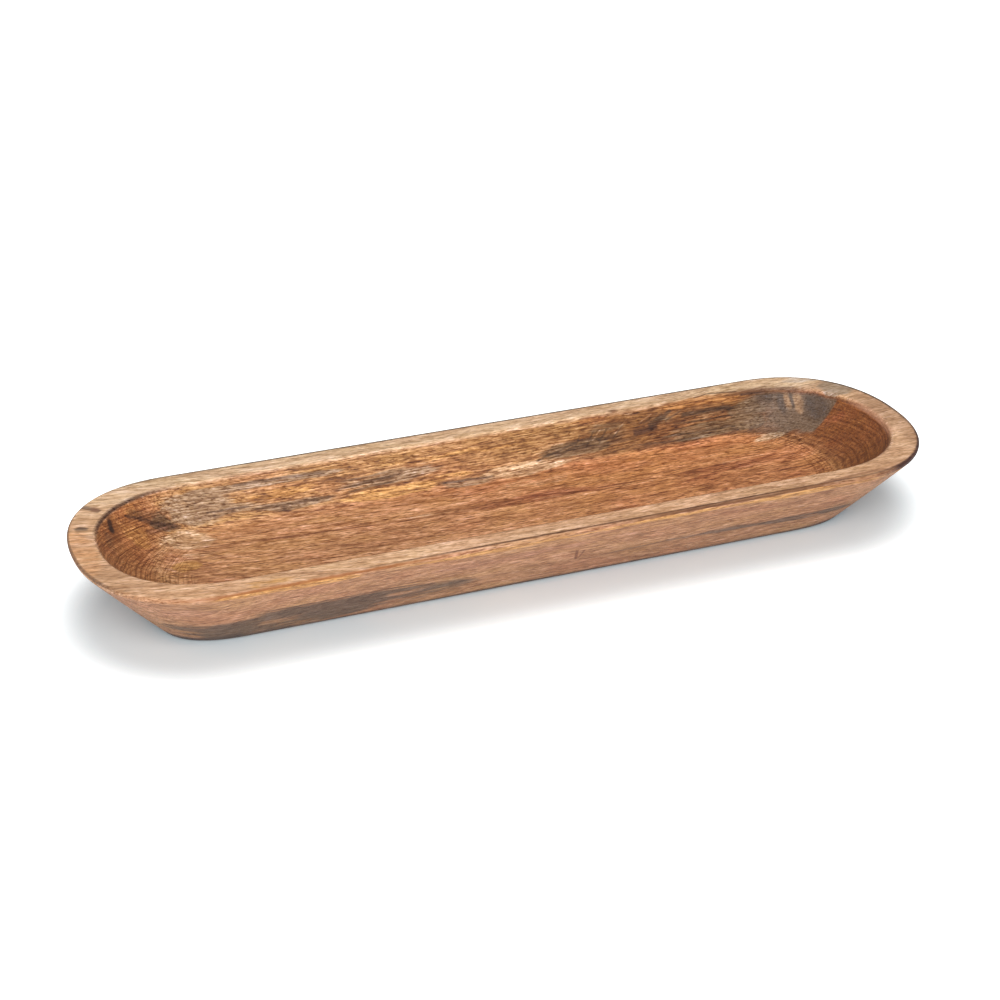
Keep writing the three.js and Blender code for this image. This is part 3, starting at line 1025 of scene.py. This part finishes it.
oiledHardwood = makeWood(wood, figures, greyCorner, knots, strokes, edgeLines)
carvedBowl = makeBowl(bowl, bowlFineness, oiledHardwood)
print("carved bowl has", len(carvedBowl.data.polygons), "faces")
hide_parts("carved_bowl")
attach(carvedBowl, "root")


# A pale floor. The camera sees it white where nothing shades it, with a soft neutral shadow: paper colour
# times light, plus a glow that turns white a little way out from the bowl.
floorLook = {
    "halfSize": 4.0,
    "colour": 0.85,
    "seenPaper": (0.81, 0.86, 0.875),
    "seenGlow": (0.0, 0.02, 0.035),
    "straightHalf": 0.185,     # the glow counts from a line this long each way along the bowl
    "white": (0.055, 0.115),   # how far from that line the glow starts to whiten, and where it is white
}


def makeFloor(look):
    half = look["halfSize"]
    mesh = bpy.data.meshes.new("floor")
    corners = [(-half, -half, 0), (half, -half, 0), (half, half, 0), (-half, half, 0)]
    mesh.from_pydata(corners, [], [(0, 1, 2, 3)])
    floor = addObject("floor", mesh)
    material = bpy.data.materials.new("paleFloor")
    material.use_nodes = True
    graph = Graph(material.node_tree)
    graph.tree.nodes.clear()
    seen = graph.make("ShaderNodeLightPath", output="Is Camera Ray")
    x, y = graph.parts(graph.make("ShaderNodeTexCoord", output="Object"))[:2]
    pastLine = (x.math("ABSOLUTE") - look["straightHalf"]).math("MAXIMUM", 0.0)
    away = smooth((pastLine * pastLine + y * y).math("SQRT"), look["white"])
    plain = (look["colour"],) * 3 + (1.0,)
    colour = blend(seen, plain, (*look["seenPaper"], 1.0))
    glow = blend(away, (*look["seenGlow"], 1.0), (1.0, 1.0, 1.0, 1.0))
    paper = graph.make("ShaderNodeBsdfDiffuse", None, {"Color": colour})
    light = graph.make("ShaderNodeEmission", None, {"Color": glow, "Strength": seen})
    both = graph.make("ShaderNodeAddShader", None, {0: paper, 1: light})
    graph.make("ShaderNodeOutputMaterial", None, {"Surface": both})
    mesh.materials.append(material)


makeFloor(floorLook)

# Soft studio light: an even pale surround, a large softbox in front to the left and a small one overhead.
# Each softbox has a power in watts, a width, a height and a place, and points at the bowl.
surround = 0.33
softboxes = {
    "frontSoftbox": {"power": 36.0, "width": 1.0, "height": 1.5, "place": (-0.563, -1.546, 0.95)},
    "overheadSoftbox": {"power": 9.0, "width": 1.2, "height": 1.2, "place": (0.15, -0.4, 1.75)},
}


def makeLight(surround, softboxes):
    world = bpy.data.worlds.new("surround")
    bpy.context.scene.world = world
    world.use_nodes = True
    graph = Graph(world.node_tree)
    graph.tree.nodes.clear()
    strength = pick(graph.make("ShaderNodeLightPath", output="Is Camera Ray"), 1.0, surround)
    background = graph.make("ShaderNodeBackground", None, {"Color": (1, 1, 1, 1), "Strength": strength})
    graph.make("ShaderNodeOutputWorld", None, {"Surface": background})
    for name, softbox in softboxes.items():
        lamp = bpy.data.lights.new(name, "AREA")
        lamp.energy = softbox["power"]
        lamp.shape = "RECTANGLE"
        lamp.size = softbox["width"]
        lamp.size_y = softbox["height"]
        holder = addObject(name, lamp)
        holder.location = softbox["place"]
        holder.rotation_euler = (-holder.location).to_track_quat("-Z", "Y").to_euler()


makeLight(surround, softboxes)

# The photograph's viewpoint, measured from the middle of the base
view = {
    "azimuth": -21.77,
    "elevation": 28.16,
    "distance": 1.2937,
    "aim": (0.00197, 0.02176, 0.0255),
    "roll": -0.099,
    "lens": 79.61,
    "sensor": 36,
}


def makeCamera(view):
    azimuth, elevation = math.radians(view["azimuth"]), math.radians(view["elevation"])
    level = math.cos(elevation)
    back = Vector((math.sin(azimuth) * level, -math.cos(azimuth) * level, math.sin(elevation)))
    place = back * view["distance"]
    data = bpy.data.cameras.new("photographView")
    data.sensor_width = view["sensor"]
    data.lens = view["lens"]
    camera = addObject("photographView", data)
    turn = (Vector(view["aim"]) - place).to_track_quat("-Z", "Y").to_matrix().to_4x4()
    roll = Matrix.Rotation(math.radians(view["roll"]), 4, "Z")
    camera.matrix_world = Matrix.Translation(place) @ turn @ roll
    bpy.context.scene.camera = camera


makeCamera(view)
bpy.context.scene.view_settings.view_transform = "Standard"
print("floor, light and camera are set")
